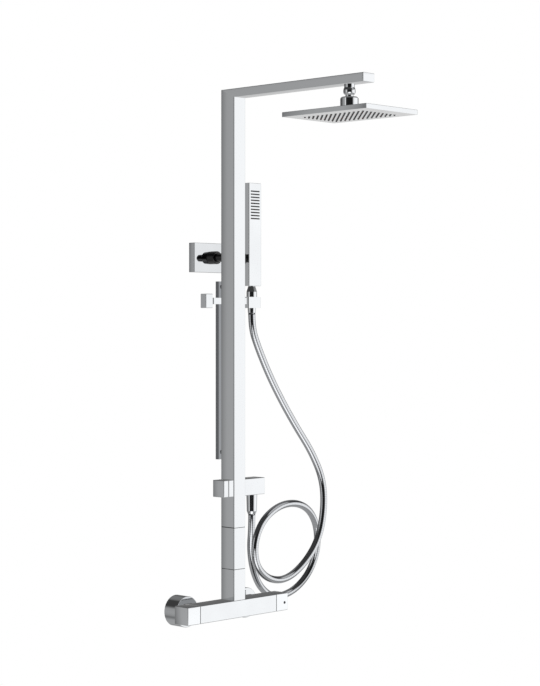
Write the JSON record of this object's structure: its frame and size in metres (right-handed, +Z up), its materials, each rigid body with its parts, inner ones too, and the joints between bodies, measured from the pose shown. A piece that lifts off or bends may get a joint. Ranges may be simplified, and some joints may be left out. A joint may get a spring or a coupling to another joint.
{
  "type": "rainfall shower column",
  "caption": "Square shower column with a bar thermostatic mixer, an overhead rain head on a ball joint, and a hand shower with hose on a sliding, tilting holder.",
  "frame": {"origin": "on the wall plane, midway between the two supply connections and level with them", "axes": "+Z up, +X along the wall to the right for someone facing it, -Y out of the wall"},
  "size_m": [0.3582, 0.456, 0.957],
  "materials": {
    "chrome": "polished",
    "brass": "machined",
    "steel": "plain",
    "plastic": "moulded",
    "silicone": "matt",
    "hose": "silver, smooth"
  },
  "bodies": {
    "column": {"arm_end_cap": "chrome", "arm_outlet_block": "brass", "arm_tube": "chrome", "ball_stem": "chrome", "bracket_anchor": "steel", "bracket_base": "steel", "bracket_cover": "chrome", "bracket_post": "plastic", "diverter_cartridge": "plastic", "flow_cartridge": "plastic", "hose_lower_nut": "chrome", "hose_nipple": "brass", "hose_tube": "hose", "inlet_strainer_cold": "steel", "inlet_strainer_hot": "steel", "inlet_tail_cold": "brass", "inlet_tail_hot": "brass", "inlet_union_cold": "brass", "inlet_union_hot": "brass", "lower_pipe": "steel", "mixer_body": "chrome", "outlet_body": "chrome", "rail_standoff_high": "chrome", "rail_standoff_low": "chrome", "riser_core": "steel", "riser_coupling": "brass", "riser_lower_tube": "chrome", "riser_pipe": "steel", "riser_sleeve": "chrome", "riser_tube": "chrome", "rosette_cold": "chrome", "rosette_hot": "chrome", "slide_rail": "chrome", "thermostat_cartridge": "plastic", "union_nut_cold": "chrome", "union_nut_hot": "chrome"},
    "flow_knob": {"flow_knob": "chrome", "flow_spindle": "steel"},
    "temperature_knob": {"temperature_knob": "chrome", "thermostat_spindle": "steel", "button_spring": "steel"},
    "override_button": {"override_button": "plastic"},
    "diverter_knob": {"diverter_knob": "chrome"},
    "slider": {"slider_body": "chrome", "slider_liner": "plastic", "holder_pin": "steel"},
    "clamp_knob": {"clamp_knob": "chrome"},
    "holder": {"holder_cradle": "chrome"},
    "handset": {"handset_body": "chrome", "handset_inlet": "plastic", "handset_nozzle_insert": "silicone", "hose_cone_nut": "chrome"},
    "head_swivel": {"ball_seat_ring": "plastic"},
    "head": {"head_boss": "brass", "socket_nut": "chrome", "head_shell": "chrome", "head_spray_plate": "chrome", "nozzle_mat": "silicone"}
  },
  "joints": [
    {"name": "flow_knob_turn", "type": "hinge", "parent": "column", "child": "flow_knob", "pos_m": [-0.111, -0.069, 0.0029], "axis": [-1, 0, 0], "range_deg": [0, 90]},
    {"name": "temperature_knob_turn", "type": "hinge", "parent": "column", "child": "temperature_knob", "pos_m": [0.111, -0.069, 0.0029], "axis": [1, 0, 0], "range_deg": [-180, 60]},
    {"name": "override_button_press", "type": "slide", "parent": "temperature_knob", "child": "override_button", "axis": [0, 1, 0], "range_m": [0, 0.0015], "stiffness_N_per_m": 400, "springref_m": -0.001, "deforming": ["button_spring"]},
    {"name": "diverter_knob_turn", "type": "hinge", "parent": "column", "child": "diverter_knob", "pos_m": [-0.032, -0.071, 0.2185], "axis": [-1, 0, 0], "range_deg": [0, 90]},
    {"name": "slider_slide", "type": "slide", "parent": "column", "child": "slider", "axis": [0, 0, 1], "range_m": [-0.26, 0.014], "deforming": ["hose_tube"]},
    {"name": "clamp_knob_turn", "type": "hinge", "parent": "slider", "child": "clamp_knob", "pos_m": [-0.034, -0.03725, 0.55215], "axis": [-1, 0, 0], "range_deg": [0, 180]},
    {"name": "holder_tilt", "type": "hinge", "parent": "slider", "child": "holder", "pos_m": [0.028, -0.07, 0.54965], "axis": [1, 0, 0], "range_deg": [-12, 12], "deforming": ["hose_tube"]},
    {"name": "handset_turn", "type": "hinge", "parent": "holder", "child": "handset", "pos_m": [0.048, -0.07, 0.55], "axis": [0, 0, 1], "range_deg": [-90, 90], "deforming": ["hose_tube"]},
    {"name": "head_turn", "type": "hinge", "parent": "column", "child": "head_swivel", "pos_m": [0, -0.347, 0.881], "axis": [0, 0, 1], "continuous": true},
    {"name": "head_tilt", "type": "hinge", "parent": "head_swivel", "child": "head", "pos_m": [0, -0.347, 0.881], "axis": [1, 0, 0], "range_deg": [-15, 15]}
  ]
}
